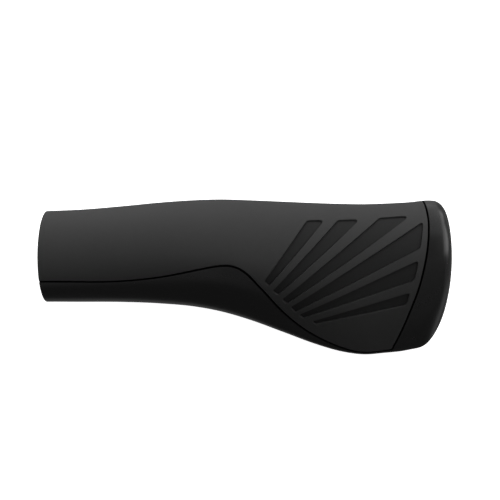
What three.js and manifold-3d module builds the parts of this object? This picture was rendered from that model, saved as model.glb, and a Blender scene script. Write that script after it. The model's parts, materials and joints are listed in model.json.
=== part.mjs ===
// Ergonomic bicycle handlebar grip, right hand, moulded in two rubber compounds (millimetres, +Z up).
//
// The body is the firm, darker compound: a sleeve for a 22.2 mm bar, a closed outer end, and a wing that
// carries the heel of the hand. The pad is the soft compound: a shell let flush into the palm side, with
// six tapering windows that fan out over the wing. Six ribs of the body stand in the windows, a little
// below the pad, so that each window reads as a shallow groove.
//
// The grip is drawn in its palm frame: X runs along the bar from the open inner end, +Y is the finger
// side, -Y is the wing, and +Z is the palm side. The group then rolls about the bar until the belly and
// the edge of the wing both lie on the plane Z = 0, which is how the grip rests.
import * as THREE from 'three';
import { ParametricGeometry } from 'three/addons/geometries/ParametricGeometry.js';
import { mergeVertices } from 'three/addons/utils/BufferGeometryUtils.js';
import Module from 'manifold-3d';

const wasm = await Module();
wasm.setup();
const { Vector2, Vector3 } = THREE;

// ---- driving dimensions ----
const LENGTH = 138.3;                    // inner end face to outer end face
const BAR_RADIUS = 11.1;                 // standard 22.2 mm bar
const END_WALL = 8;                      // rubber beyond the end of the bar
const END_ROUND = 3.45;                  // rounding between the side and the outer end face
const WING_CORNER = 15.5;                // plan radius of the wing's outer corner
const TUBE_RADIUS = 16;                  // round section at the inner end
const WING_REACH = 34.4;                 // greatest reach of the wing behind the bar axis
const WING_EDGE_RADIUS = 4;              // half the thickness of the wing at its rear edge
const WING_EDGE_RISE = 0.3;              // height of that edge's middle over the bar axis

const PAD_THICKNESS = 2.7;
const GAP = 0.3;                         // clearance between the two compounds
const GROOVE_DEPTH = 0.8;                // how far the ribs lie below the pad
const WALL_PAST = 1;                     // how far a cut runs past the wall it cuts
const PAD_FRONT_DROP = -9;               // pad's lower edge on the finger side
const PAD_REAR_DROP = -0.3;              // pad's lower limit inside the wing's edge

// Stations along the bar: position, then reach of the finger side, reach of the wing side, height of the
// crest, depth of the belly, and how far the crest sits towards the fingers. The stations and the plan
// outlines below are as drawn, and stretch with LENGTH and WING_REACH.
const STATIONS = [
  [0, TUBE_RADIUS, TUBE_RADIUS, TUBE_RADIUS, TUBE_RADIUS, 0],
  [12, 16.5, 16, 16.3, 16.1, 0.3],
  [26, 17.65, 16.05, 17, 16.5, 0.8],
  [40, 19, 16.6, 18, 17, 1.2],
  [52, 19.8, 17.7, 19, 17.5, 0.9],
  [61, 20.05, 19.4, 19.7, 17.7, 0.2],
  [71, 19.75, 22.3, 19.8, 17.7, -1.1],
  [83, 19.25, 26.7, 19.4, 17.5, -1.9],
  [95, 18.75, 31.1, 18.9, 17.3, -2.1],
  [103, 18.5, 33.35, 18.6, 17.2, -2],
  [111, 18.4, 34.4, 18.5, 17.2, -1.7],
  [119, 18.65, 33.8, 18.7, 17.3, -1.2],
  [127, 19.1, 33.3, 19.1, 17.5, -0.7],
  [133, 19.7, 34.3, 19.6, 17.8, -0.3],
  [138.3, 19.4, 32.6, 19.8, 18, 0],
];

const drawnLength = STATIONS[STATIONS.length - 1][0];
const drawnReach = Math.max(...STATIONS.map((s) => s[2]));

// Parting line of the pad in plan: along the rear from the inner end to the wing's outer corner, then
// across the palm to the finger side.
const REAR_SEAM = [
  [-4, -8.3], [8, -8.3], [22, -8.35], [33, -7.7], [43, -6.4], [53, -4.4], [60, -3.05], [65, -3.05],
  [69.5, -5.2], [75, -10.8], [82.4, -18.8], [90, -25], [98, -29.5], [106, -32.5], [112, -33.2],
  [120.2, -32.3],
];
const END_SEAM = [
  [120.2, -32.3], [122.6, -25.4], [124.8, -18.1], [127.1, -9.9], [129, -0.5], [130.2, 8], [130.8, 16],
  [130.9, 30],
];

// Corners of the six windows in plan: root left, root right, tip right, tip left, seen from the palm.
const WINDOWS = [
  [[75.8, -8.2], [77.3, -9.9], [96, 12.3], [90.1, 12.2]],
  [[78.5, -11.6], [80.4, -12.9], [108, 12.6], [100.5, 12.3]],
  [[81.7, -14.5], [83.5, -16], [125, 13.8], [114.6, 13.1]],
  [[84.6, -17.2], [86.3, -18.9], [127.4, 2.9], [129, 11.9]],
  [[87.5, -19.9], [89.1, -21.1], [125.5, -8], [126.8, -1.2]],
  [[91.6, -22.3], [93.4, -23.1], [123.3, -16.4], [124.4, -12]],
];
const ROOT_ROUND = 0.6;
const SHARP_TIP_ROUND = 0.8;             // acute tip corner
const BLUNT_TIP_ROUND = 2;               // obtuse tip corner

// How finely each part of a section and the length are divided.
const SECTION_STEPS = { crestFront: 9, crestRear: 11, edge: 6, underWing: 7, bellyRear: 3, bellyFront: 8 };
const BODY_ROWS = 25;
const CORNER_ROWS = 8;
const WINDOW_STEP = 5;                   // greatest spacing of points along a window

// ---- section of the grip ----
// Smooth value of one column of STATIONS at x.
function station(x, column) {
  const xs = STATIONS.map((s) => s[0] * LENGTH / drawnLength);
  const ys = STATIONS.map((s) => s[column]);
  const last = xs.length - 1;
  let i = 0;
  while (i < last - 1 && x >= xs[i + 1]) i += 1;
  const rise = (j) => (ys[j + 1] - ys[j]) / (xs[j + 1] - xs[j]);
  const slope = (j) => {
    if (j === 0) return rise(0);
    if (j === last) return rise(last - 1);
    const before = xs[j] - xs[j - 1];
    const after = xs[j + 1] - xs[j];
    return (rise(j - 1) * after + rise(j) * before) / (before + after);
  };
  const h = xs[i + 1] - xs[i];
  const t = (x - xs[i]) / h;
  return ys[i] * (2 * t ** 3 - 3 * t ** 2 + 1) + h * slope(i) * (t ** 3 - 2 * t ** 2 + t)
    + ys[i + 1] * (3 * t ** 2 - 2 * t ** 3) + h * slope(i + 1) * (t ** 3 - t ** 2);
}

// How far a quarter-round of radius r that ends at the outer face has drawn in at x.
function drawnIn(x, r) {
  const into = Math.max(0, x - (LENGTH - r));
  return r - Math.sqrt(Math.max(0, r * r - into * into));
}

const lerp = THREE.MathUtils.lerp;
const rad = THREE.MathUtils.degToRad;

function arc(points, steps, centre, halfWidth, halfHeight, from, to) {
  for (let i = 0; i < steps; i += 1) {
    const a = lerp(from, to, i / steps);
    points.push(new Vector2(centre.x + halfWidth * Math.cos(a), centre.y + halfHeight * Math.sin(a)));
  }
}

// A curve from a to b that leaves and arrives along the given directions.
function sweep(points, steps, a, leave, b, arrive) {
  const reach = 0.35 * a.distanceTo(b);
  const curve = new THREE.CubicBezierCurve(
    a, a.clone().addScaledVector(leave, reach), b.clone().addScaledVector(arrive, -reach), b);
  for (let i = 0; i < steps; i += 1) points.push(curve.getPoint(i / steps));
}

// Outline of the grip at x, as points (y, z), from the finger side over the palm and round to the belly.
function sectionAt(x) {
  const side = drawnIn(x, END_ROUND);
  const front = station(x, 1) - side;
  const wingGrowth = (WING_REACH - TUBE_RADIUS) / (drawnReach - TUBE_RADIUS);
  const rear = TUBE_RADIUS + (station(x, 2) - TUBE_RADIUS) * wingGrowth - drawnIn(x, WING_CORNER);
  const crest = station(x, 3) - side;
  const belly = station(x, 4) - side;
  const middle = new Vector2(station(x, 5), 0);

  // The rear edge is a round that shrinks from the whole tube to the thin edge of the wing.
  const tubeShare = THREE.MathUtils.clamp((WING_REACH - rear) / (WING_REACH - TUBE_RADIUS), 0, 1);
  const wingShare = 1 - tubeShare;
  const edgeRadius = WING_EDGE_RADIUS + (TUBE_RADIUS - WING_EDGE_RADIUS) * tubeShare ** 1.3;
  const edge = new Vector2(edgeRadius - rear, WING_EDGE_RISE * wingShare);
  const topTilt = rad(lerp(50, 40, wingShare));
  const underTilt = rad(lerp(60, 10, Math.min(1, 1.6 * wingShare)));
  const bellyTilt = rad(lerp(30, 25, wingShare));

  const top = new Vector2(middle.x, crest);
  const edgeTop = new Vector2(
    edge.x - edgeRadius * Math.sin(topTilt), edge.y + edgeRadius * Math.cos(topTilt));
  const edgeUnder = new Vector2(
    edge.x - edgeRadius * Math.sin(underTilt), edge.y - edgeRadius * Math.cos(underTilt));
  const bellyRear = new Vector2(
    middle.x - belly * Math.sin(bellyTilt), -belly * Math.cos(bellyTilt));

  const n = SECTION_STEPS;
  const points = [];
  arc(points, n.crestFront, middle, front - middle.x, crest, 0, Math.PI / 2);
  sweep(points, n.crestRear, top, new Vector2(-1, 0),
    edgeTop, new Vector2(-Math.cos(topTilt), -Math.sin(topTilt)));
  arc(points, n.edge, edge, edgeRadius, edgeRadius, Math.PI / 2 + topTilt, 1.5 * Math.PI - underTilt);
  sweep(points, n.underWing, edgeUnder, new Vector2(Math.cos(underTilt), -Math.sin(underTilt)),
    bellyRear, new Vector2(Math.cos(bellyTilt), -Math.sin(bellyTilt)));
  arc(points, n.bellyRear, middle, belly, belly, 1.5 * Math.PI - bellyTilt, 1.5 * Math.PI);
  arc(points, n.bellyFront, middle, front - middle.x, belly, -Math.PI / 2, 0);
  return points;
}

// The same outline moved inwards by a wall thickness.
function insetSection(x, thickness) {
  const points = sectionAt(x);
  const count = points.length;
  return points.map((p, i) => {
    const along = points[(i + 1) % count].clone().sub(points[(i + count - 1) % count]).normalize();
    return new Vector2(p.x - along.y * thickness, p.y + along.x * thickness);
  });
}

// Height of the palm side over the plan point (x, y).
function palmHeight(x, y) {
  const points = sectionAt(x);
  let i = 0;
  while (points[i + 1].x > y) i += 1;
  const t = (points[i].x - y) / (points[i].x - points[i + 1].x);
  return lerp(points[i].y, points[i + 1].y, t);
}

// The point at a depth below the palm surface, measured square to it under the plan point (x, y).
function underPalm({ x, y }, depth) {
  const step = 0.5;
  const normal = new Vector3(
    (palmHeight(x - step, y) - palmHeight(x + step, y)) / (2 * step),
    (palmHeight(x, y - step) - palmHeight(x, y + step)) / (2 * step), 1).normalize();
  return new Vector3(x, y, palmHeight(x, y)).addScaledVector(normal, -depth);
}

// ---- solids ----
// A closed three.js geometry as a solid for joining and cutting.
function solid(geometry) {
  const bare = geometry.clone();
  bare.deleteAttribute('normal');
  bare.deleteAttribute('uv');
  const merged = mergeVertices(bare, 1e-4);
  const index = merged.index.array;
  const triangles = [];
  for (let i = 0; i < index.length; i += 3) {
    const [a, b, c] = [index[i], index[i + 1], index[i + 2]];
    if (a !== b && b !== c && c !== a) triangles.push(a, b, c);
  }
  return new wasm.Manifold(new wasm.Mesh({
    numProp: 3,
    vertProperties: Float32Array.from(merged.attributes.position.array),
    triVerts: Uint32Array.from(triangles),
  }));
}

// A closed skin through a row of outlines in space; each end closes on the middle of its outline.
function loft(outlines) {
  const around = outlines[0].length;
  const stacks = outlines.length + 1;
  const middle = (outline) => outline.reduce((sum, p) => sum.add(p), new Vector3()).divideScalar(around);
  const ends = [middle(outlines[0]), middle(outlines[outlines.length - 1])];
  const skin = new ParametricGeometry((u, v, target) => {
    const row = Math.round(v * stacks);
    if (row === 0) target.copy(ends[0]);
    else if (row === stacks) target.copy(ends[1]);
    else target.copy(outlines[row - 1][Math.round(u * around) % around]);
  }, around, stacks);
  return solid(skin);
}

// The skin through the sections at the given positions along the bar.
function skinThrough(rows, outlineAt) {
  return loft(rows.map((x) => outlineAt(x).map((p) => new Vector3(x, p.x, p.y))));
}

// Plan outline pulled straight through the grip along Z, the way the mould opens.
function prism(points) {
  const geometry = new THREE.ExtrudeGeometry(new THREE.Shape(points), { depth: 60, bevelEnabled: false });
  geometry.translate(0, 0, -30);
  return solid(geometry);
}

// A polyline moved sideways, to its right when the distance is positive.
function moved(points, distance) {
  return points.map((p, i) => {
    const before = points[Math.max(i - 1, 0)];
    const after = points[Math.min(i + 1, points.length - 1)];
    const a = p.clone().sub(before).normalize();
    const b = after.clone().sub(p).normalize();
    const along = a.add(b).normalize();
    const turn = i > 0 && i < points.length - 1
      ? Math.cos(p.clone().sub(before).angleTo(after.clone().sub(p)) / 2) : 1;
    return new Vector2(p.x + along.y * distance / turn, p.y - along.x * distance / turn);
  });
}

// Plan points drawn at the top of this file, stretched to the grip's real length and reach.
function inPlan(pairs) {
  return pairs.map(([x, y]) => new Vector2(
    x * LENGTH / drawnLength, y < 0 ? y * WING_REACH / drawnReach : y));
}

// The part of the grip that the pad takes up, made larger all round by a clearance.
function padRegion(clearance) {
  const rear = new THREE.SplineCurve(inPlan(REAR_SEAM)).getPoints(50);
  const end = new THREE.SplineCurve(inPlan(END_SEAM)).getPoints(18).slice(1);
  const seam = moved([...rear, ...end], clearance);
  const region = prism([...seam, new Vector2(-4, 30)]);
  const slope = Math.atan2(PAD_FRONT_DROP - PAD_REAR_DROP, TUBE_RADIUS + WING_REACH);
  const below = new THREE.BoxGeometry(400, 200, 80);
  below.translate(0, 0, -40 - clearance);
  below.rotateX(slope);
  below.translate(0, TUBE_RADIUS, PAD_FRONT_DROP);
  return region.subtract(solid(below));
}

// A window as a solid that stands square to the palm surface between two depths, with its corners
// rounded, smaller all round by a clearance. It is lofted from root to tip through strips across it.
function windowSolid(drawnCorners, clearance, topDepth, bottomDepth) {
  const points = inPlan(drawnCorners);
  const count = points.length;
  const inner = points.map((p, i) => {
    const a = p.clone().sub(points[(i + count - 1) % count]).normalize();
    const b = points[(i + 1) % count].clone().sub(p).normalize();
    const bisector = new Vector2(-a.y - b.y, a.x + b.x).normalize();
    return p.clone().addScaledVector(bisector, clearance / bisector.dot(new Vector2(-a.y, a.x)));
  });
  const cornerRound = (i) => {
    const p = inner[i];
    const a = inner[(i + count - 1) % count].clone().sub(p).normalize();
    const b = inner[(i + 1) % count].clone().sub(p).normalize();
    const half = Math.acos(THREE.MathUtils.clamp(a.dot(b), -1, 1)) / 2;
    const tip = half < Math.PI / 4 ? SHARP_TIP_ROUND : BLUNT_TIP_ROUND;
    const back = ((i < 2 ? ROOT_ROUND : tip) - clearance) / Math.tan(half);
    return new THREE.QuadraticBezierCurve(
      p.clone().addScaledVector(a, back), p, p.clone().addScaledVector(b, back)).getPoints(3);
  };
  const [rootLeft, rootRight, tipRight, tipLeft] = [0, 1, 2, 3].map(cornerRound);
  rootLeft.reverse();
  tipLeft.reverse();
  const steps = Math.ceil(rootLeft[3].distanceTo(tipLeft[0]) / WINDOW_STEP);
  const edge = (from, to) => Array.from({ length: steps - 1 },
    (_, i) => from.clone().lerp(to, (i + 1) / steps));
  const left = [...rootLeft, ...edge(rootLeft[3], tipLeft[0]), ...tipLeft];
  const right = [...rootRight, ...edge(rootRight[3], tipRight[0]), ...tipRight];
  return loft(left.map((l, i) => {
    const middle = l.clone().lerp(right[i], 0.5);
    return [...[l, middle, right[i]].map((p) => underPalm(p, topDepth)),
      underPalm(right[i], bottomDepth), underPalm(l, bottomDepth)];
  }));
}

// ---- the grip ----
const bodyRows = Array.from({ length: BODY_ROWS }, (_, i) => i * (LENGTH - WING_CORNER) / BODY_ROWS);
const cornerRows = Array.from({ length: CORNER_ROWS + 1 },
  (_, i) => LENGTH - WING_CORNER + WING_CORNER * Math.sin(rad(90 * i / CORNER_ROWS)));
const rows = [...bodyRows, ...cornerRows];
const innerRows = [-3, ...rows.slice(1).filter((x) => x < LENGTH - 1.5 * END_ROUND)];

const outer = skinThrough(rows, sectionAt);
const core = (depth) => loft(innerRows.map(
  (x) => insetSection(Math.max(0, x), depth).map((p) => new Vector3(x, p.x, p.y))));

// Bore for the bar, blind: it ends inside the closed outer end.
const boreLength = LENGTH - END_WALL + 3;
const bore = new THREE.CylinderGeometry(BAR_RADIUS, BAR_RADIUS, boreLength, 48);
bore.rotateZ(Math.PI / 2);
bore.translate(boreLength / 2 - 3, 0, 0);

let padSolid = outer.intersect(padRegion(0)).subtract(core(PAD_THICKNESS));
let pocket = padRegion(GAP).subtract(core(PAD_THICKNESS + GAP));
for (const corners of WINDOWS) {
  padSolid = padSolid.subtract(windowSolid(corners, 0, -WALL_PAST, PAD_THICKNESS + WALL_PAST));
  pocket = pocket.subtract(windowSolid(corners, GAP, GROOVE_DEPTH, PAD_THICKNESS + WALL_PAST));
}
const bodySolid = outer.subtract(pocket).subtract(solid(bore));

function meshOf(name, shape, material) {
  const { vertProperties, triVerts, numProp } = shape.getMesh();
  const geometry = new THREE.BufferGeometry();
  const count = vertProperties.length / numProp;
  const position = new Float32Array(count * 3);
  for (let i = 0; i < count; i += 1) {
    for (let k = 0; k < 3; k += 1) position[3 * i + k] = vertProperties[i * numProp + k];
  }
  geometry.setAttribute('position', new THREE.BufferAttribute(position, 3));
  geometry.setIndex(new THREE.BufferAttribute(Uint32Array.from(triVerts), 1));
  geometry.computeVertexNormals();
  const mesh = new THREE.Mesh(geometry, material);
  mesh.name = name;
  return mesh;
}

const firmRubber = new THREE.MeshStandardMaterial({ color: 0x1c1c1c, roughness: 0.42, metalness: 0 });
const softRubber = new THREE.MeshStandardMaterial({ color: 0x2e2e2e, roughness: 0.75, metalness: 0 });

const palmFrame = new THREE.Group();
palmFrame.add(meshOf('base_body', bodySolid, firmRubber));
palmFrame.add(meshOf('palm_pad', padSolid, softRubber));

// Roll about the bar until the wing's edge is as low as the belly, then stand the grip on Z = 0 with the
// origin under the middle of its box.
const vertex = new THREE.Vector3();
function lowest(roll, keep) {
  let low = Infinity;
  const turn = new THREE.Matrix4().makeRotationX(roll);
  const position = palmFrame.children[0].geometry.attributes.position;
  for (let i = 0; i < position.count; i += 1) {
    vertex.fromBufferAttribute(position, i);
    if (keep(vertex)) low = Math.min(low, vertex.applyMatrix4(turn).z);
  }
  return low;
}
let rollLow = 0;
let rollHigh = Math.PI / 3;
for (let i = 0; i < 40; i += 1) {
  const roll = (rollLow + rollHigh) / 2;
  const bellyLow = lowest(roll, (p) => p.y > -TUBE_RADIUS);
  const wingLow = lowest(roll, (p) => p.y < -TUBE_RADIUS - 8);
  if (wingLow > bellyLow) rollLow = roll; else rollHigh = roll;
}
palmFrame.rotation.x = (rollLow + rollHigh) / 2;

const grip = new THREE.Group();
grip.add(palmFrame);
grip.updateMatrixWorld(true);
const box = new THREE.Box3().setFromObject(grip, true);
palmFrame.position.set(-(box.min.x + box.max.x) / 2, -(box.min.y + box.max.y) / 2, -box.min.z);

export default grip;
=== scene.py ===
# %% [markdown]
# # A handlebar grip in two rubber compounds
#
# The object is an ergonomic bicycle grip for the right hand. A firm, satin rubber body slides on the bar and
# spreads into a wing under the heel of the hand. A softer, matte pad is let flush into the palm side, inside
# a narrow black parting groove. Six tapering windows fan out over the wing, and ribs of the body stand in
# them, half a millimetre below the pad.
#
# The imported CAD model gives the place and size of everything. It is loaded first and never changed.

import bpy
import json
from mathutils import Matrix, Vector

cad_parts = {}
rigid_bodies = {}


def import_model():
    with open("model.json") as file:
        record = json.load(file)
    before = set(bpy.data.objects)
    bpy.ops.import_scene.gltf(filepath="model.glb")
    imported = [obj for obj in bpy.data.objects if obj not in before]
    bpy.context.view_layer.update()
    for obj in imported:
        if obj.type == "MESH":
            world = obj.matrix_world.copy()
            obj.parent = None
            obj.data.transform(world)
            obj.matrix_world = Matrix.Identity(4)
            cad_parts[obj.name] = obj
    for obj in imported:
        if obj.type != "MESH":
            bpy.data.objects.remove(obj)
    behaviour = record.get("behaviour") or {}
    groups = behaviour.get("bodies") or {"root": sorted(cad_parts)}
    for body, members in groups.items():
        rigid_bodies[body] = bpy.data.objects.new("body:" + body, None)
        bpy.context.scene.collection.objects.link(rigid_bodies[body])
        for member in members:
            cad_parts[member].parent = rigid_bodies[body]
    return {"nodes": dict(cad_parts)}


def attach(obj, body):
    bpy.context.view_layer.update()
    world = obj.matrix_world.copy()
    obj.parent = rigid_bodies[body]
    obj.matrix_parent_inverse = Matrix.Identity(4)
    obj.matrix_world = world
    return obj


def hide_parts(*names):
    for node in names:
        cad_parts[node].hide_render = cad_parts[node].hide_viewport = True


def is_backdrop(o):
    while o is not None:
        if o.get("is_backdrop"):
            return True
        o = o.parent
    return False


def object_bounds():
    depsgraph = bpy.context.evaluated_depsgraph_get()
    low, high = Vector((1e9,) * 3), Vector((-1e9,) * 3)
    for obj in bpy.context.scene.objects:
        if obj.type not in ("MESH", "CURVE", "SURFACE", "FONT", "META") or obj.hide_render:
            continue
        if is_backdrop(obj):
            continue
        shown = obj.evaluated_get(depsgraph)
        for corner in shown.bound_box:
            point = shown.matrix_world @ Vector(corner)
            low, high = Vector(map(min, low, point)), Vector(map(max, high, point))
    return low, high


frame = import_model()
cad_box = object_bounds()
print("nodes:", sorted(frame["nodes"]), "box:", [tuple(round(v, 4) for v in c) for c in cad_box])

# %% [markdown]
# ## The palm frame
#
# A grip is easiest to describe along its bar: X runs from the open inner end to the closed outer end, +Y is
# the finger side, -Y is the wing and +Z is the palm. It lies on the table rolled over, resting on its belly
# and on the edge of the wing. So all shapes are worked out in millimetres in the palm frame, and one function
# turns them into place.

# %% From the palm frame to the table
import json
from math import atan2, ceil, cos, hypot, pi, radians, sin

import bpy
import numpy as np

ROLL = radians(28.90114)
BAR_AXIS = np.array([-69.15, 5.61549, 18.41043])
MM = 0.001


def placed(points):
    """Palm frame in millimetres to the table frame in metres."""
    return (turned(points) + BAR_AXIS) * MM


def turned(directions):
    """A direction from the palm frame to the table frame."""
    x, y, z = np.asarray(directions, float).reshape(-1, 3).T
    return np.c_[x, y * cos(ROLL) - z * sin(ROLL), y * sin(ROLL) + z * cos(ROLL)]


print("the middle of the inner end lies at", placed([0, 0, 0])[0].round(4), "m")

# %% [markdown]
# ## The section of the grip
#
# A moulded grip has no straight lines, but it follows a rule. At each station along the bar five sizes are
# known: how far it reaches towards the fingers and towards the wing, how high the crest is, how deep the
# belly is, and how far the crest leans. Curves through the stations give those sizes everywhere. One
# section rule then turns them into an outline: half-ellipses on the finger side, a round at the rear that
# shrinks from the whole tube to the thin edge of the wing, and smooth sweeps between them.
#
# The sizes are taken 0.05 mm under the CAD model's, so that this finer skin stays inside its box.

# %% Stations along the bar
LENGTH = 138.3
TUBE_RADIUS = 16.0
WING_REACH = 34.4
WING_EDGE_RADIUS = 4.0
WING_EDGE_RISE = 0.3
WING_CORNER = 15.5
END_ROUND = 3.45
UNDERSIZE = 0.05

# position, finger reach, wing reach, crest height, belly depth, lean of the crest
STATIONS = np.array([
    [0, 16, 16, 16, 16, 0], [12, 16.5, 16, 16.3, 16.1, 0.3], [26, 17.65, 16.05, 17, 16.5, 0.8],
    [40, 19, 16.6, 18, 17, 1.2], [52, 19.8, 17.7, 19, 17.5, 0.9], [61, 20.05, 19.4, 19.7, 17.7, 0.2],
    [71, 19.75, 22.3, 19.8, 17.7, -1.1], [83, 19.25, 26.7, 19.4, 17.5, -1.9],
    [95, 18.75, 31.1, 18.9, 17.3, -2.1], [103, 18.5, 33.35, 18.6, 17.2, -2],
    [111, 18.4, WING_REACH, 18.5, 17.2, -1.7], [119, 18.65, 33.8, 18.7, 17.3, -1.2],
    [127, 19.1, 33.3, 19.1, 17.5, -0.7], [133, 19.7, 34.3, 19.6, 17.8, -0.3],
    [LENGTH, 19.4, 32.6, 19.8, 18, 0],
])


def station(x, column):
    """Smooth value of one column of STATIONS at x."""
    xs, ys = STATIONS[:, 0], STATIONS[:, column]
    rise = np.diff(ys) / np.diff(xs)
    gap = np.diff(xs)
    inner = (rise[:-1] * gap[1:] + rise[1:] * gap[:-1]) / (gap[:-1] + gap[1:])
    slope = np.concatenate([rise[:1], inner, rise[-1:]])
    i = int(np.clip(np.searchsorted(xs, x, side="right") - 1, 0, len(xs) - 2))
    t = (x - xs[i]) / gap[i]
    return (ys[i] * (2 * t**3 - 3 * t**2 + 1) + gap[i] * slope[i] * (t**3 - 2 * t**2 + t)
            + ys[i + 1] * (3 * t**2 - 2 * t**3) + gap[i] * slope[i + 1] * (t**3 - t**2))


def drawn_in(x, r):
    """How far a quarter-round of radius r that ends at the outer face has drawn in at x."""
    into = max(0.0, x - (LENGTH - r))
    return r - max(0.0, r * r - into * into) ** 0.5


print("at the thumb's swell the grip is", round(station(61, 3) + station(61, 4), 2), "mm high")

# %% The outline at one place along the bar
STEPS = dict(crest_front=26, crest_rear=40, edge=24, under_wing=24, belly_rear=8, belly_front=26)
SWEEP_REACH = 0.35
# how fast the rear round shrinks, and the underside flattens, as the tube turns into the wing
SHRINK, FLATTEN = 1.3, 1.6
# where the sweeps meet the rear round and the belly, in degrees, on the whole tube and on the whole wing
TOP_TURN, UNDER_TURN, KEEL_TURN = (50, 40), (60, 10), (30, 25)


def ellipse(centre, half_width, half_height, start, end, steps):
    a = np.linspace(start, end, steps, endpoint=False)
    return np.c_[centre[0] + half_width * np.cos(a), centre[1] + half_height * np.sin(a)]


def sweep(a, leave, b, arrive, steps):
    """A cubic curve from a to b that leaves and arrives along the given directions."""
    reach = SWEEP_REACH * hypot(*(b - a))
    t = np.linspace(0, 1, steps, endpoint=False)[:, None]
    c, d = a + reach * leave, b - reach * arrive
    return (1 - t) ** 3 * a + 3 * t * (1 - t) ** 2 * c + 3 * t**2 * (1 - t) * d + t**3 * b


def blend(pair, share):
    """An angle between two, in radians."""
    return radians(pair[0] + (pair[1] - pair[0]) * share)


def section(x):
    """Points (y, z) round the grip at x, from the finger side over the palm to the belly and back."""
    side = drawn_in(x, END_ROUND) + UNDERSIZE
    front, crest, belly = station(x, 1) - side, station(x, 3) - side, station(x, 4) - side
    rear = station(x, 2) - drawn_in(x, WING_CORNER) - UNDERSIZE
    lean = np.array([station(x, 5), 0.0])
    tube = float(np.clip((WING_REACH - UNDERSIZE - rear) / (WING_REACH - TUBE_RADIUS), 0, 1))
    wing = 1 - tube
    radius = WING_EDGE_RADIUS + (TUBE_RADIUS - WING_EDGE_RADIUS) * tube**SHRINK
    middle = np.array([radius - rear, WING_EDGE_RISE * wing])
    top, turn = blend(TOP_TURN, wing), blend(KEEL_TURN, wing)
    under = blend(UNDER_TURN, min(1, FLATTEN * wing))
    edge_top = middle + radius * np.array([-sin(top), cos(top)])
    edge_low = middle - radius * np.array([sin(under), cos(under)])
    keel = lean - belly * np.array([sin(turn), cos(turn)])
    n = STEPS
    return np.vstack([
        ellipse(lean, front - lean[0], crest, 0, pi / 2, n["crest_front"]),
        sweep(lean + [0, crest], np.array([-1, 0]), edge_top, -np.array([cos(top), sin(top)]),
              n["crest_rear"]),
        ellipse(middle, radius, radius, pi / 2 + top, 1.5 * pi - under, n["edge"]),
        sweep(edge_low, np.array([cos(under), -sin(under)]), keel, np.array([cos(turn), -sin(turn)]),
              n["under_wing"]),
        ellipse(lean, belly, belly, 1.5 * pi - turn, 1.5 * pi, n["belly_rear"]),
        ellipse(lean, front - lean[0], belly, -pi / 2, 0, n["belly_front"]),
    ])


AROUND = sum(STEPS.values())
print(AROUND, "points round a section; the wing's widest one is",
      round(float(np.ptp(section(111)[:, 0])), 2), "mm across")

# %% [markdown]
# ## Skins
#
# A skin is a row of closed outlines joined by quads, with a fan over each end. The outer skin is the grip's
# visible surface. The same outlines drawn in by a wall thickness give the core that the pad lies on.

# %% A closed skin through rings of points
def mesh_object(name, points, faces):
    mesh = bpy.data.meshes.new(name)
    mesh.from_pydata(placed(points).tolist(), [], faces)
    mesh.update()
    obj = bpy.data.objects.new(name, mesh)
    bpy.context.scene.collection.objects.link(obj)
    return obj


def skin_faces(rows, around, offset=0):
    """Quads between rings, and a fan from each end ring to its middle point, all facing outwards."""
    last, heads = rows * around + offset, []
    for r in range(rows - 1):
        for k in range(around):
            a, b = r * around + k + offset, r * around + (k + 1) % around + offset
            heads.append((a, b, b + around, a + around))
    for k in range(around):
        n = (k + 1) % around
        heads.append((offset + n, offset + k, last))
        heads.append((last - around + k, last - around + n, last + 1))
    return heads


def skin(name, rings):
    rings = np.asarray(rings)
    middles = [rings[0].mean(0), rings[-1].mean(0)]
    points = np.vstack([rings.reshape(-1, 3), middles])
    return mesh_object(name, points, skin_faces(len(rings), rings.shape[1]))


def at(x, outline):
    """A flat outline stood up at x."""
    return np.c_[np.full(len(outline), x), outline]


LONG_ROWS, CORNER_ROWS = 130, 36
quarter = np.linspace(0, pi / 2, CORNER_ROWS + 1)
rows = np.concatenate([np.linspace(0, LENGTH - WING_CORNER, LONG_ROWS, endpoint=False),
                       LENGTH - WING_CORNER + WING_CORNER * np.sin(quarter)])
# squeezed a hair along the bar too, to stay inside the CAD model's box
squeezed = UNDERSIZE + rows * (LENGTH - 2 * UNDERSIZE) / LENGTH
outer = skin("outer_skin", [at(x, section(row)) for x, row in zip(squeezed, rows)])
print("outer skin:", len(outer.data.polygons), "faces")

# %% The core, drawn in by a wall thickness
PAD_THICKNESS = 2.7
GAP = 0.3
BEFORE_THE_RIM = -3.0
CORE_FROM, CORE_TO, CORE_ROWS = 4, LENGTH - 1.5 * END_ROUND, 60


def drawn(outline, depth):
    """An outline moved inwards, square to itself."""
    along = np.roll(outline, -1, 0) - np.roll(outline, 1, 0)
    inwards = np.c_[-along[:, 1], along[:, 0]] / np.hypot(*along.T)[:, None]
    return outline + depth * inwards


def core(name, depth):
    """The core under a wall of that depth, run out past the inner end for a clean cut."""
    xs = np.concatenate([[BEFORE_THE_RIM], np.linspace(CORE_FROM, CORE_TO, CORE_ROWS)])
    return skin(name, [at(x, drawn(section(max(0.0, x))[::2], depth)) for x in xs])


pad_bed = core("pad_bed", PAD_THICKNESS)
pocket_floor = core("pocket_floor", PAD_THICKNESS + GAP)
print("pad bed:", len(pad_bed.data.polygons), "faces")

# %% [markdown]
# ## Places on the skin
#
# The pad's parting groove and its windows are drawn on the skin. So they need to know where the skin is under
# a point of the plan, and which way it faces there. Any place on the skin has two numbers: x along the bar,
# and k, the count of steps round the section. On the palm side k follows from y.

# %% Points and directions on the skin
SHORT, HALF_STEP = 0.4, 0.5
section_cache = {}


def cached(x):
    """The section at x, worked out only once."""
    key = round(float(x), 3)
    if key not in section_cache:
        section_cache[key] = section(min(max(key, 0.0), LENGTH))
    return section_cache[key]


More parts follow.
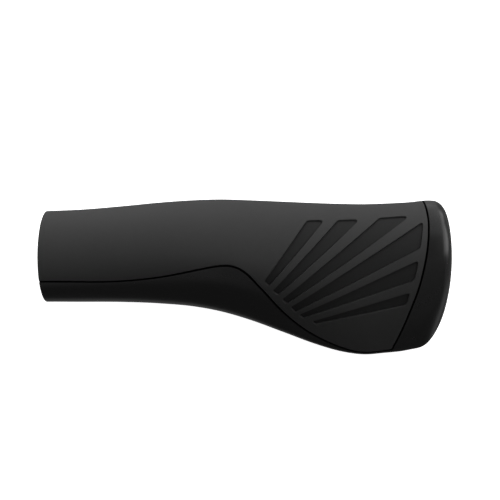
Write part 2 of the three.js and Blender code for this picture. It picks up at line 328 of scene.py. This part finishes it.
def on_skin(x, k):
    """The point of the skin at x and k, which may lie between two steps."""
    outline = cached(x)
    i = int(np.floor(k))
    a, b = outline[i % AROUND], outline[(i + 1) % AROUND]
    return np.array([x, *(a + (k - i) * (b - a))])


def facing(x, k):
    """The outward direction of the skin, from two short steps on it."""
    along = on_skin(x + SHORT, k) - on_skin(x - SHORT, k)
    round_it = on_skin(x, k + HALF_STEP) - on_skin(x, k - HALF_STEP)
    out = np.cross(round_it, along)
    return out / np.linalg.norm(out)


def palm_step(x, y):
    """The k of the palm side's point at y."""
    ys = cached(x)[:STEPS["crest_front"] + STEPS["crest_rear"] + STEPS["edge"], 0]
    end = int(np.argmin(ys)) + 1
    return float(np.interp(-y, -ys[:end], np.arange(end)))


def under_palm(x, y, depth):
    """The point at a depth below the skin, square to it, under a point of the plan."""
    k = palm_step(x, y)
    return on_skin(x, k) - depth * facing(x, k)


print("the palm at mid-length faces", facing(70, palm_step(70, 0)).round(3))

# %% [markdown]
# ## The parting line
#
# In plan the parting line runs along the rear of the sleeve, sweeps out to the corner of the wing, and
# crosses the palm to the finger side. There it turns under the fingers and comes back as one straight line,
# low on the front. It is drawn as smooth splines through a few points each.

# %% The parting line in plan
REAR_SEAM = [(-4, -8.3), (8, -8.3), (22, -8.35), (33, -7.7), (43, -6.4), (53, -4.4), (60, -3.05), (65, -3.05),
             (69.5, -5.2), (75, -10.8), (82.4, -18.8), (90, -25), (98, -29.5), (106, -32.5), (112, -33.2),
             (120.2, -32.3)]
END_SEAM = [(120.2, -32.3), (122.6, -25.4), (124.8, -18.1), (127.1, -9.9), (129, -0.5), (130.2, 8),
            (130.8, 16), (130.9, 30)]
PAD_FRONT_DROP = -9.0
PAD_REAR_DROP = -0.3


def spline(points, count):
    """A smooth curve through the points: Catmull-Rom, evenly stepped between them."""
    p = np.array(points, float)
    t = np.linspace(0, len(p) - 1, count)
    i = np.minimum(t.astype(int), len(p) - 2)
    w = (t - i)[:, None]
    a, b, c, d = p[np.maximum(i - 1, 0)], p[i], p[i + 1], p[np.minimum(i + 2, len(p) - 1)]
    v, u = (c - a) / 2, (d - b) / 2
    return (2 * b - 2 * c + v + u) * w**3 + (-3 * b + 3 * c - 2 * v - u) * w**2 + v * w + b


def moved(points, distance):
    """A line moved to its right by a distance, mitred at its corners."""
    p = np.asarray(points, float)
    before, after = np.vstack([p[:1], p[:-1]]), np.vstack([p[1:], p[-1:]])
    a, b = p - before, after - p
    a[0], b[-1] = b[0], a[-1]
    a /= np.hypot(*a.T)[:, None]
    b /= np.hypot(*b.T)[:, None]
    along = a + b
    along /= np.hypot(*along.T)[:, None]
    mitre = np.sqrt((1 + (a * b).sum(1)) / 2)
    return p + np.c_[along[:, 1], -along[:, 0]] * (distance / mitre)[:, None]


rear_line, end_line = spline(REAR_SEAM, 240), spline(END_SEAM, 110)
seam = np.vstack([rear_line, end_line[1:]])
print("parting line:", round(float(np.hypot(*np.diff(seam, axis=0).T).sum()), 1), "mm in plan")

# %% The space that the pad takes up
HAIR = 0.01
SKY, OUTSIDE = 40.0, (-4, 30)
drop_slope = atan2(PAD_FRONT_DROP - PAD_REAR_DROP, TUBE_RADIUS + WING_REACH)


def floor_height(y, clearance):
    """The height of the pad's lower edge at y."""
    return PAD_FRONT_DROP + (y - TUBE_RADIUS) * np.tan(drop_slope) - clearance / cos(drop_slope)


def pad_space(name, clearance, opened=1.0):
    """Everything inside the parting line and above the pad's lower edge, as one tall solid."""
    plan = np.vstack([moved(seam, 2 * HAIR + (clearance - 2 * HAIR) * opened), [OUTSIDE]])
    n = len(plan)
    low = np.c_[plan, floor_height(plan[:, 1], clearance)]
    high = np.c_[plan, np.full(n, SKY)]
    sides = [(i, (i + 1) % n, n + (i + 1) % n, n + i) for i in range(n)]
    return mesh_object(name, np.vstack([low, high]), sides + [tuple(range(n))[::-1], tuple(range(n, 2 * n))])


pad_zone = pad_space("pad_zone", HAIR)
# next to the inner end the gap closes, so that no daylight shows through it
CLOSED_TO, OPEN_WITHIN = 1.3, 0.6
opened = np.clip((seam[:, 0] - CLOSED_TO) / OPEN_WITHIN, 0, 1)
pocket_zone = pad_space("pocket_zone", GAP - HAIR, opened)
print("pad zone:", len(pad_zone.data.vertices), "points")

# %% [markdown]
# ## Windows and ribs
#
# Each window tapers from a narrow root near the heel of the hand to a wide tip. Its walls stand square to the
# skin. A window is lofted from strips that cross it from edge to edge: the opening cut from the pad and the
# rib that stands in it are the same loft, with different depths and a little play between them. Two numbers
# on every face, named rib and groove, later tell the material what it covers: the rib's matte tops, and the
# parting groove's walls, which are painted near-black as painted shade.

# %% Corners of the six windows
WINDOWS = [
    [(75.8, -8.2), (77.3, -9.9), (96, 12.3), (90.1, 12.2)],
    [(78.5, -11.6), (80.4, -12.9), (108, 12.6), (100.5, 12.3)],
    [(81.7, -14.5), (83.5, -16), (125, 13.8), (114.6, 13.1)],
    [(84.6, -17.2), (86.3, -18.9), (127.4, 2.9), (129, 11.9)],
    [(87.5, -19.9), (89.1, -21.1), (125.5, -8), (126.8, -1.2)],
    [(91.6, -22.3), (93.4, -23.1), (123.3, -16.4), (124.4, -12)],
]
ROOT_ROUND, SHARP_TIP_ROUND, BLUNT_TIP_ROUND = 0.6, 0.8, 2.0
LEAST_ROUND = 0.1


def unit(v):
    return v / np.hypot(*v)


def window_sides(corners, clearance, corner_steps=6, strip=1.0):
    """The left and the right edge of a window, from root to tip, with rounded corners."""
    p = np.array(corners, float)
    a = [unit(p[i] - p[i - 1]) for i in range(4)]
    b = [unit(p[(i + 1) % 4] - p[i]) for i in range(4)]
    inner = []
    for i in range(4):
        half = unit(np.array([-a[i][1] - b[i][1], a[i][0] + b[i][0]]))
        inner.append(p[i] + half * clearance / (half @ [-a[i][1], a[i][0]]))
    rounds = []
    for i in range(4):
        turn = np.arccos(np.clip(-a[i] @ b[i], -1, 1)) / 2
        radius = ROOT_ROUND if i < 2 else SHARP_TIP_ROUND if turn < pi / 4 else BLUNT_TIP_ROUND
        back = max(radius - clearance, LEAST_ROUND) / np.tan(turn)
        start, end = inner[i] - a[i] * back, inner[i] + b[i] * back
        t = np.linspace(0, 1, corner_steps)[:, None]
        rounds.append((1 - t) ** 2 * start + 2 * t * (1 - t) * inner[i] + t**2 * end)
    root_left, root_right, tip_right, tip_left = rounds
    root_left, tip_left = root_left[::-1], tip_left[::-1]
    count = ceil(hypot(*(tip_left[0] - root_left[-1])) / strip)
    t = np.linspace(0, 1, count + 1)[1:-1, None]
    left = np.vstack([root_left, root_left[-1] + t * (tip_left[0] - root_left[-1]), tip_left])
    right = np.vstack([root_right, root_right[-1] + t * (tip_right[0] - root_right[-1]), tip_right])
    return left, right


print("strips across each window:", [len(window_sides(corners, 0.0)[0]) for corners in WINDOWS])

# %% The openings in the pad and the ribs that stand in them
RIB_DROP, RIB_PLAY = 0.5, 0.12
ABOVE_SKIN, BELOW_BED, INTO_CORE = -1.0, 1, 1.5


def window_block(corners, clearance, top, bottom, across=9):
    """Rings of a block that fills a window between two depths."""
    left, right = window_sides(corners, clearance)
    rings = []
    for a, b in zip(left, right):
        strip = [a + t * (b - a) for t in np.linspace(0, 1, across)]
        rings.append([under_palm(*q, top) for q in strip] + [under_palm(*q, bottom) for q in strip[::-1]])
    return np.array(rings)


def window_blocks(name, clearance, top, bottom):
    """The blocks of all the windows as one object."""
    points, faces, offset = [], [], 0
    for corners in WINDOWS:
        rings = window_block(corners, clearance, top, bottom)
        faces += skin_faces(len(rings), rings.shape[1], offset)
        points += [rings.reshape(-1, 3), [rings[0].mean(0), rings[-1].mean(0)]]
        offset += rings.shape[0] * rings.shape[1] + 2
    return mesh_object(name, np.vstack(points), faces)


openings = window_blocks("openings", HAIR, ABOVE_SKIN, PAD_THICKNESS + BELOW_BED)
ribs = window_blocks("ribs", RIB_PLAY, RIB_DROP, PAD_THICKNESS + INTO_CORE)
# the groove number starts at 0 here; the groove cutters set it to 1 where the parting groove's walls get
# painted shade
for block in (ribs, outer):
    mark = block.data.attributes.new("rib", "FLOAT", "FACE")
    mark.data.foreach_set("value", np.full(len(block.data.polygons), float(block is ribs)))
    block.data.attributes.new("groove", "FLOAT", "FACE")
print("openings:", len(openings.data.polygons), "faces; ribs:", len(ribs.data.polygons), "faces")

# %% [markdown]
# ## Where the groove runs
#
# The parting line reads as a narrow black groove with softened edges. It is cut by one profile drawn along
# paths on the skin: the rear line, the line across the end and the low line on the front. Next to the inner
# end the rear and low grooves start shallow, so that the rim stays whole. A much finer cut, a loop round each
# window, softens the windows' edges. Each point of a path keeps the direction that the skin faces, as an
# attribute named lift.

# %% How a path on the skin is kept
def groove_paths(name, paths):
    """Paths as loose edges; a path is a list of (x, k) and whether it closes on itself."""
    points, lifts, edges = [], [], []
    for path, closed in paths:
        start, n = len(points), len(path)
        points += [on_skin(x, k) for x, k in path]
        lifts += [facing(x, k) for x, k in path]
        edges += [(start + i, start + (i + 1) % n) for i in range(n if closed else n - 1)]
    mesh = bpy.data.meshes.new(name)
    mesh.from_pydata(placed(points).tolist(), edges, [])
    lift = mesh.attributes.new("lift", "FLOAT_VECTOR", "POINT")
    lift.data.foreach_set("vector", turned(lifts).ravel())
    obj = bpy.data.objects.new(name, mesh)
    bpy.context.scene.collection.objects.link(obj)
    return obj


def low_step(x):
    """The k, counted back from the finger side, where the pad's lower edge meets the skin."""
    outline = cached(x)
    for k in range(0, -STEPS["belly_front"], -1):
        here, there = (outline[j % AROUND] for j in (k, k - 1))
        a, b = (q[1] - floor_height(q[0], GAP / 2) for q in (here, there))
        if b < 0:
            return k - a / (a - b)
    return float(-STEPS["belly_front"])


print("the low line starts", round(-low_step(0), 2), "steps under the finger side")

# %% Paths of the parting line and round the windows
DEEP_FROM, SHALLOW_OVER, WINDOW_LOOP_IN = 1.0, 0.4, 0.02
FINGER_CREST = 12
END_LINE_LOW, END_LINE_LEAN = 131, 0.35
FIRST_POINTS = 40
middle_line = moved(seam, GAP / 2)
corner = len(rear_line) - 1
rear_path = [(x, palm_step(x, y)) for x, y in middle_line[:corner + 1] if x > DEEP_FROM]
across = [(x, y) for x, y in middle_line[corner:] if y < FINGER_CREST]
x_end, k_end = across[-1][0], palm_step(*across[-1])
k_low = low_step(END_LINE_LOW)
turn_under = [(x_end + END_LINE_LEAN * (1 - max(k, 0) / k_end), k)
              for k in np.arange(k_end - HALF_STEP, k_low, -HALF_STEP)]
end_path = [(x, palm_step(x, y)) for x, y in across] + turn_under + [(turn_under[-1][0], k_low)]
low_path = [(x, low_step(x)) for x in np.linspace(end_path[-1][0], DEEP_FROM, 150)]
first_steps = np.linspace(-SHALLOW_OVER, DEEP_FROM + SHALLOW_OVER, 6)
rear_start = [(x, palm_step(x, np.interp(x, *middle_line[:FIRST_POINTS].T))) for x in first_steps]
low_start = [(x, low_step(x)) for x in first_steps]


def window_loop(corners):
    """The edge of a window, as a path on the skin."""
    left, right = window_sides(corners, WINDOW_LOOP_IN)
    return [(x, palm_step(x, y)) for x, y in np.vstack([left, right[::-1]])]


long_paths = groove_paths("long_grooves", [(rear_path, False), (low_path, False)])
end_paths = groove_paths("end_groove", [(end_path, False)])
start_paths = groove_paths("first_grooves", [(rear_start, False), (low_start, False)])
window_paths = groove_paths("window_grooves", [(window_loop(c), True) for c in WINDOWS])
all_paths = (long_paths, end_paths, start_paths, window_paths)
print("groove paths:", sum(len(paths.data.edges) for paths in all_paths), "short edges")

# %% [markdown]
# ## Formulas as nodes
#
# Both Geometry Nodes and materials are graphs of nodes. A formula with ten Math nodes is hard to read, so one
# small class wraps a socket and turns + - * / and the comparisons into those nodes. Every other node comes
# from one method, which takes its type, its settings and the values or links of its sockets.

# %% One way to write node trees
class Value:
    """A socket's value in a tree. Arithmetic on it adds Math nodes."""

    def __init__(self, tree, socket):
        self.tree, self.socket = tree, socket

    def __add__(self, other):
        return self.tree.math("ADD", self, other)

    def __radd__(self, other):
        return self.tree.math("ADD", other, self)

    def __sub__(self, other):
        return self.tree.math("SUBTRACT", self, other)

    def __rsub__(self, other):
        return self.tree.math("SUBTRACT", other, self)

    def __mul__(self, other):
        return self.tree.math("MULTIPLY", self, other)

    def __rmul__(self, other):
        return self.tree.math("MULTIPLY", other, self)

    def __truediv__(self, other):
        return self.tree.math("DIVIDE", self, other)

    def __rtruediv__(self, other):
        return self.tree.math("DIVIDE", other, self)

    def __gt__(self, other):
        return self.tree.math("GREATER_THAN", self, other)

    def __lt__(self, other):
        return self.tree.math("LESS_THAN", self, other)


class Tree:
    def __init__(self, node_tree):
        self.tree = node_tree

    def add(self, kind, settings=None, values=None, out=0):
        """Adds a node: its settings first, then its sockets by name or number. Returns an output's value."""
        node = self.tree.nodes.new(kind)
        for name, setting in (settings or {}).items():
            setattr(node, name, setting)
        for name, value in (values or {}).items():
            socket = self.socket(node.inputs, name)
            for item in value if isinstance(value, list) else [value]:
                if isinstance(item, Value):
                    self.tree.links.new(item.socket, socket)
                else:
                    socket.default_value = item
        return Value(self, self.socket(node.outputs, out))

    def socket(self, sockets, key):
        """A socket by its identifier, or else by its name or number."""
        return next((s for s in sockets if s.identifier == key), None) or sockets[key]

    def math(self, operation, *terms):
        return self.add("ShaderNodeMath", {"operation": operation}, dict(enumerate(terms)))


print("a formula on a Value becomes Math nodes")

# %% Geometry Nodes trees with named inputs
def geometry_tree(name, sizes):
    """A Geometry Nodes tree with named inputs. Returns it, its input values and the inputs' identifiers."""
    group = bpy.data.node_groups.new(name, "GeometryNodeTree")
    group.interface.new_socket("Geometry", in_out="INPUT", socket_type="NodeSocketGeometry")
    group.interface.new_socket("Geometry", in_out="OUTPUT", socket_type="NodeSocketGeometry")
    kinds = {float: "NodeSocketFloat", bpy.types.Object: "NodeSocketObject",
             bpy.types.Material: "NodeSocketMaterial"}
    names = {}
    for label, value in sizes.items():
        socket = group.interface.new_socket(label, in_out="INPUT", socket_type=kinds[type(value)])
        names[label] = socket.identifier
    tree = Tree(group)
    node = group.nodes.new("NodeGroupInput")
    given = {socket.name: Value(tree, socket) for socket in node.outputs if socket.name}
    return tree, given, names


def finish_tree(tree, geometry, material):
    made = tree.add("GeometryNodeRealizeInstances", values={"Geometry": geometry})
    made = tree.add("GeometryNodeSetMaterial", values={"Geometry": made, "Material": material})
    out = tree.tree.nodes.new("NodeGroupOutput")
    tree.tree.links.new(made.socket, out.inputs[0])


def grown(obj, group, names, sizes, name):
    """The object's mesh after the tree, as a plain new object."""
    modifier = obj.modifiers.new(group.name, "NODES")
    modifier.node_group = group
    for label, value in sizes.items():
        modifier[names[label]] = value
    ready = obj.evaluated_get(bpy.context.evaluated_depsgraph_get())
    mesh = bpy.data.meshes.new_from_object(ready)
    obj.modifiers.remove(modifier)
    mesh.name = name
    made = bpy.data.objects.new(name, mesh)
    bpy.context.scene.collection.objects.link(made)
    return made


print("inputs can be floats, objects and materials")

# %% [markdown]
# ## Two rubbers
#
# Both compounds are black rubber without gloss paint. The pad is softer, paler and matte: its surface is very
# finely textured, so it scatters light evenly. The body is darker and satin, so it mirrors the soft lights in
# broad bands, but the tops of its ribs are matte like the pad. The walls of the parting groove are painted
# near-black, as painted shade for the dark inside it.
# Nothing is one flat grey: the mix is a little uneven, and the fine grain changes how rough it looks. All the
# finishes are the same graph with other numbers, so one function makes them, and the faces' own numbers say
# which finish shows.

# %% A procedural rubber
# how many clouds, mottles and grains fit in a metre
CLOUDS, MOTTLES, GRAINS = 45.0, 420.0, 2600.0
GRAIN_HEIGHT = 0.00008


def rubber_surface(tree, dark, pale, rough, rougher, grain, specular):
    """One rubber finish: a slightly uneven colour, a varying roughness and a very fine grain."""
    place = tree.add("ShaderNodeTexCoord", out="Object")
    cloud = tree.add("ShaderNodeTexNoise", values={"Vector": place, "Scale": CLOUDS, "Detail": 3.0})
    mottle = tree.add("ShaderNodeTexNoise", values={"Vector": place, "Scale": MOTTLES, "Detail": 2.0})
    fine = tree.add("ShaderNodeTexNoise", values={"Vector": place, "Scale": GRAINS, "Detail": 2.0})
    colour = tree.add("ShaderNodeMix", {"data_type": "RGBA"},
                      {"Factor_Float": 0.5 * cloud + 0.25 * mottle + 0.25 * fine,
                       "A_Color": (dark, dark, dark, 1), "B_Color": (pale, pale, pale, 1)}, "Result_Color")
    bump = tree.add("ShaderNodeBump", values={"Height": fine + 0.6 * mottle, "Strength": grain,
                                              "Distance": GRAIN_HEIGHT})
    roughness = rough + (rougher - rough) * (0.5 * mottle + 0.5 * cloud)
    return tree.add("ShaderNodeBsdfPrincipled",
                    values={"Base Color": colour, "Roughness": roughness, "Normal": bump,
                            "Specular IOR Level": specular})


def rubber(name, finish, others):
    """A material of one finish; the others cover the faces that an attribute marks."""
    material = bpy.data.materials.new(name)
    material.use_nodes = True
    material.node_tree.nodes.clear()
    tree = Tree(material.node_tree)
    surface = rubber_surface(tree, *finish)
    for attribute, other in others.items():
        mark = tree.add("ShaderNodeAttribute", {"attribute_name": attribute}, out="Fac")
        marked = rubber_surface(tree, *other)
        surface = tree.add("ShaderNodeMixShader", values={0: mark, 1: surface, 2: marked})
    out = material.node_tree.nodes.new("ShaderNodeOutputMaterial")
    material.node_tree.links.new(surface.socket, out.inputs["Surface"])
    return material


# darkest and palest grey, least and greatest roughness, strength of the grain, specular level
MATTE = (0.044, 0.056, 0.70, 0.80, 0.25, 0.05)
SATIN = (0.013, 0.017, 0.24, 0.29, 0.04, 0.5)
RIB_TOP = (0.022, 0.028, 0.70, 0.80, 0.25, 0.05)
# painted shade: a near-black finish for the walls of the parting groove, standing for the dark inside it
GROOVE_PAINTED_SHADE = (0.003, 0.004, 0.85, 0.95, 0.10, 0.05)
soft_rubber = rubber("soft_matte_rubber", MATTE, {"groove": GROOVE_PAINTED_SHADE})
firm_rubber = rubber("firm_satin_rubber", SATIN, {"rib": RIB_TOP, "groove": GROOVE_PAINTED_SHADE})
print("materials:", soft_rubber.name, firm_rubber.name)

# %% [markdown]
# ## The groove cutter
#
# A groove is one profile that follows a path on a surface, which is what Geometry Nodes do well. The profile
# is a slot whose two shoulders flare out as quarter-rounds, so that what it cuts is left with rounded edges.
# The tree bends a circle of 16 points into that profile from its named sizes, sweeps it along the paths and
# marks its faces with painted shade or not: where the mark is 1, the groove's walls are painted near-black.

# %% Sizes of the grooves
# the groove's painted shade: 1 paints the walls of the parting line near-black, 0 leaves the windows' edges
# unpainted
cutter_sizes = {"Slot": 0.7 * MM, "Shoulder": 0.03 * MM, "Depth": 2.4 * MM, "Height": 0.8 * MM,
                "Painted_shade": 1.0, "Material": firm_rubber}
end_sizes = dict(cutter_sizes, Slot=0.6 * MM)
start_sizes = dict(cutter_sizes, Depth=0.4 * MM)
window_sizes = dict(cutter_sizes, Slot=0.16 * MM, Shoulder=0.04 * MM, Depth=0.3 * MM, Painted_shade=0.0)
for sizes in (cutter_sizes, end_sizes, start_sizes, window_sizes):
    print("groove:", round(sizes["Slot"] / MM, 2), "mm wide,", round(sizes["Depth"] / MM, 2), "mm deep")

# %% Geometry Nodes: sweep the groove cutter
tree, given, names = geometry_tree("groove cutter", cutter_sizes)
CORNERS = 16
# the corners are counted from the bottom of the slot, up one shoulder, and mirrored for the other side
index = tree.add("GeometryNodeInputIndex")
step = tree.math("MINIMUM", index, CORNERS - 1 - index)
angle = tree.math("MINIMUM", tree.math("MAXIMUM", (step - 1) / (CORNERS / 2 - 3), 0.0), 1.0) * (pi / 2)
round_off = given["Shoulder"]
up = (round_off * (tree.math("SINE", angle) - 1) + (step < 0.5) * (round_off - given["Depth"])
      + (step > CORNERS / 2 - 1.5) * given["Height"])
out = tree.math("SIGN", index - (CORNERS - 1) / 2) * (given["Slot"] / 2
                                                      + round_off * (1 - tree.math("COSINE", angle)))
ring = tree.add("GeometryNodeCurvePrimitiveCircle", values={"Resolution": CORNERS})
profile = tree.add("GeometryNodeSetPosition", values={
    "Geometry": ring, "Position": tree.add("ShaderNodeCombineXYZ", values={"X": up, "Y": out, "Z": 0.0})})
path = tree.add("GeometryNodeMeshToCurve", values={"Mesh": given["Geometry"]})
lift = tree.add("GeometryNodeInputNamedAttribute", {"data_type": "FLOAT_VECTOR"}, {"Name": "lift"})
path = tree.add("GeometryNodeSetCurveNormal", {"mode": "FREE"}, {"Curve": path, "Normal": lift})
swept = tree.add("GeometryNodeCurveToMesh",
                 values={"Curve": path, "Profile Curve": profile, "Fill Caps": True})
# stores the groove's painted shade on the cut faces: the material paints them near-black where it is 1
swept = tree.add("GeometryNodeStoreNamedAttribute", {"data_type": "FLOAT", "domain": "FACE"},
                 {"Geometry": swept, "Name": "groove", "Value": given["Painted_shade"]})
finish_tree(tree, swept, given["Material"])
print("the groove cutter has", len(tree.tree.nodes), "nodes")

# %% The cutters along their paths
long_cutter = grown(long_paths, tree.tree, names, cutter_sizes, "long_cutter")
end_cutter = grown(end_paths, tree.tree, names, end_sizes, "end_cutter")
start_cutter = grown(start_paths, tree.tree, names, start_sizes, "start_cutter")
window_cutter = grown(window_paths, tree.tree, names, window_sizes, "window_cutter")
for cutter in (long_cutter, end_cutter, start_cutter, window_cutter):
    shape, first = cutter.data.polygons, cutter.data.vertices[0].co
    volume = sum(f.area * f.normal.dot(f.center - first) for f in shape) / 3
    print(cutter.name, len(shape), "faces,", round(volume * 1e9, 1), "cubic mm")

# %% [markdown]
# ## Cutting the two pieces
#
# The pad is the outer skin, kept inside the parting line, hollowed by its bed, and pierced by the windows.
# The body is the same skin less the pad's pocket, less the bore; the ribs are what the pocket leaves standing
# in the windows. The groove cutters then cut the parting line and round the edges of both. Booleans in
# Geometry Nodes keep this a short recipe that can be read from left to right.

# %% The bore for the bar
BAR_RADIUS = 11.1
END_WALL = 8.0
turns = np.linspace(0, 2 * pi, 96, endpoint=False)
bar_ring = BAR_RADIUS * np.c_[np.cos(turns), np.sin(turns)]
bore = skin("bore", [at(x, bar_ring) for x in (BEFORE_THE_RIM, LENGTH - END_WALL)])
print("bore:", 2 * BAR_RADIUS, "mm wide and", LENGTH - END_WALL, "mm deep")

# %% Geometry Nodes: the pad
def boolean(tree, operation, values):
    return tree.add("GeometryNodeMeshBoolean", {"operation": operation, "solver": "MANIFOLD"}, values)


def cut(tree, first, others):
    return boolean(tree, "DIFFERENCE", {"Mesh 1": first, "Mesh 2": others})


def shape_of(tree, value):
    return tree.add("GeometryNodeObjectInfo", values={"Object": value}, out="Geometry")


cutters = {"Long cutter": long_cutter, "End cutter": end_cutter, "Start cutter": start_cutter,
           "Window cutter": window_cutter}
pad_parts = {"Zone": pad_zone, "Bed": pad_bed, "Openings": openings, **cutters, "Material": soft_rubber}
tree, given, names = geometry_tree("soft pad", pad_parts)
kept = boolean(tree, "INTERSECT", {"Mesh 2": [given["Geometry"], shape_of(tree, given["Zone"])]})
kept = cut(tree, kept, [shape_of(tree, given[part]) for part in ("Bed", "Openings")])
kept = cut(tree, kept, [shape_of(tree, given[part]) for part in cutters])
finish_tree(tree, kept, given["Material"])
pad = grown(outer, tree.tree, names, pad_parts, "soft_pad")
print("pad:", len(pad.data.polygons), "faces")

# %% Geometry Nodes: the body
body_parts = {"Zone": pocket_zone, "Floor": pocket_floor, "Ribs": ribs, "Bore": bore, **cutters,
              "Material": firm_rubber}
tree, given, names = geometry_tree("firm body", body_parts)
pocket = cut(tree, shape_of(tree, given["Zone"]), [shape_of(tree, given[part]) for part in ("Floor", "Ribs")])
kept = cut(tree, given["Geometry"], [pocket, shape_of(tree, given["Bore"])])
kept = cut(tree, kept, [shape_of(tree, given[part]) for part in cutters])
finish_tree(tree, kept, given["Material"])
body = grown(outer, tree.tree, names, body_parts, "firm_body")
print("body:", len(body.data.polygons), "faces")

# %% Clean, smooth and check the pieces
import bmesh

SAME_POINT = 1e-6
SHARP_FROM = radians(33)


def finished(piece):
    """Merges doubled points, smooths everything but real edges and reports whether the piece is closed."""
    shape = bmesh.new()
    shape.from_mesh(piece.data)
    bmesh.ops.remove_doubles(shape, verts=shape.verts, dist=SAME_POINT)
    bmesh.ops.dissolve_degenerate(shape, edges=shape.edges, dist=SAME_POINT)
    open_edges = sum(not e.is_manifold for e in shape.edges)
    volume = shape.calc_volume(signed=True) * 1e9
    shape.to_mesh(piece.data)
    shape.free()
    piece.data.shade_smooth()
    piece.data.set_sharp_from_angle(angle=SHARP_FROM)
    faces = len(piece.data.polygons)
    print(piece.name, round(volume), "cubic mm,", open_edges, "open edges,", faces, "faces")


for piece in (pad, body):
    finished(piece)
for helper in (outer, pad_bed, pocket_floor, pad_zone, pocket_zone, openings, ribs, bore, *all_paths,
               *cutters.values()):
    bpy.data.objects.remove(helper)

# %% [markdown]
# ## The table, the light and the camera
#
# This is a product picture: a white ground with no shadow, soft light from the finger side, and dark on the
# wing's side. The camera looks straight at the bar from about 32 cm, so the grip's ends spread visibly in
# perspective.

# %% A plain pale floor
def plain_floor(size=6.0):
    """A white ground that takes no shadow and sends no light back."""
    mesh = bpy.data.meshes.new("floor")
    s = size / 2
    mesh.from_pydata([(-s, -s, 0), (s, -s, 0), (s, s, 0), (-s, s, 0)], [], [(0, 1, 2, 3)])
    obj = bpy.data.objects.new("floor", mesh)
    bpy.context.scene.collection.objects.link(obj)
    material = bpy.data.materials.new("white_ground")
    material.use_nodes = True
    shader = material.node_tree.nodes["Principled BSDF"]
    shader.inputs["Base Color"].default_value = (0.9, 0.9, 0.9, 1)
    shader.inputs["Roughness"].default_value = 1.0
    shader.inputs["Emission Color"].default_value = (1, 1, 1, 1)
    shader.inputs["Emission Strength"].default_value = 1.0
    obj.data.materials.append(material)
    obj.visible_diffuse = obj.visible_glossy = obj.visible_shadow = False
    return obj


floor = plain_floor()
floor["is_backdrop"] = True
print("floor ready")

# %% [markdown]
# The light is a dim studio of soft-edged panels. Each one is a patch of the sky, stated by how far it leans
# towards the closed end, the fingers and the palm. The camera itself sees plain white paper behind the grip.

# %% Soft light from the finger side
scene = bpy.context.scene
world = bpy.data.worlds.new("studio")
scene.world = world
world.use_nodes = True
world.node_tree.nodes.clear()
tree = Tree(world.node_tree)
sky = tree.add("ShaderNodeTexCoord", out="Generated")
towards = {}
for name, direction in (("fingers", (0, 1, 0)), ("palm", (0, 0, 1)), ("end", (1, 0, 0))):
    towards[name] = tree.add("ShaderNodeVectorMath", {"operation": "DOT_PRODUCT"},
                             {0: sky, 1: tuple(turned(direction)[0])}, "Value")
EDGE = 0.04


def ramp(value, start, end):
    """0 below start, 1 above end and a smooth rise between them."""
    return tree.add("ShaderNodeMapRange", {"interpolation_type": "SMOOTHSTEP"},
                    {"Value": value, "From Min": start, "From Max": end}, "Result")


def panel(strength, **spans):
    """A soft-edged patch of light; each span is a range of one direction's cosine."""
    light = strength
    for name, (low, high) in spans.items():
        light = light * ramp(towards[name], low - EDGE, low + EDGE) if low > -1 else light
        light = light * (1 - ramp(towards[name], high - EDGE, high + EDGE)) if high < 1 else light
    return light


strength = (panel(2.4, end=(0.6, 0.93), fingers=(0.1, 0.8), palm=(0.15, 1))
            + panel(0.25, end=(0.62, 1), fingers=(-0.65, 1), palm=(-0.6, 1))
            + panel(6.0, end=(-1, -0.6), fingers=(0.4, 0.7), palm=(0.2, 1))
            + panel(5.6, end=(-0.6, -0.25), fingers=(0.7, 1), palm=(-1, 0.2))
            + panel(1.75, end=(0.25, 0.6), fingers=(0.1, 1), palm=(-0.35, 1))
            + panel(0.4, end=(-0.6, 0.25), fingers=(0.7, 1))
            + panel(0.3, end=(-0.6, -0.25), palm=(0.2, 1))
            + panel(0.12, end=(-0.25, 0.25), fingers=(-0.7, 1), palm=(-1, 0.2))
            + panel(0.12, end=(-0.25, 0.6), fingers=(-1, 0.1), palm=(0.2, 1))
            + panel(0.05, end=(-0.6, 0.62), fingers=(-1, -0.4), palm=(-1, 0.2))
            + panel(0.09, end=(0.62, 1), fingers=(-1, -0.4), palm=(-1, 0.2))
            + panel(0.15, fingers=(-0.3, 1), palm=(-1, -0.4)))
light = tree.add("ShaderNodeBackground", values={"Color": (1, 1, 1, 1), "Strength": strength})
paper = tree.add("ShaderNodeBackground", values={"Color": (1, 1, 1, 1), "Strength": 1.0})
seen = tree.add("ShaderNodeLightPath", out="Is Camera Ray")
light = tree.add("ShaderNodeMixShader", values={0: seen, 1: light, 2: paper})
out = world.node_tree.nodes.new("ShaderNodeOutputWorld")
world.node_tree.links.new(light.socket, out.inputs["Surface"])
scene.view_settings.view_transform = "Standard"
print("the studio has", len(world.node_tree.nodes), "nodes")

# %% The camera
FOCAL_PIXELS, PICTURE = 912.5, 500
SENSOR = 36.0
CAMERA_PLACE = [71.02, 2.23, 320.3]
camera_data = bpy.data.cameras.new("camera")
camera_data.sensor_width = SENSOR
camera_data.lens = SENSOR * FOCAL_PIXELS / PICTURE
camera_data.clip_start, camera_data.clip_end = 0.01, 50.0
camera = bpy.data.objects.new("camera", camera_data)
scene.collection.objects.link(camera)
camera.location = placed(CAMERA_PLACE)[0]
camera.rotation_euler = (ROLL, 0, 0)
scene.camera = camera
print("camera at", [round(v, 4) for v in camera.location], "lens", round(camera_data.lens, 2), "mm")

# %% [markdown]
# ## Handing over
#
# Both pieces ride on the one body of the part and stand for the CAD nodes of the same shape.

# %% Pieces, bodies and the size of the whole
for piece, node, finish in ((body, "base_body", "firm_rubber"), (pad, "palm_pad", "soft_rubber")):
    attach(piece, "root")
    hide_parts(node)
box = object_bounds()
for name, corners in (("CAD box", cad_box), ("visual box", box)):
    print(name, [tuple(round(v * 1000, 2) for v in c) for c in corners])
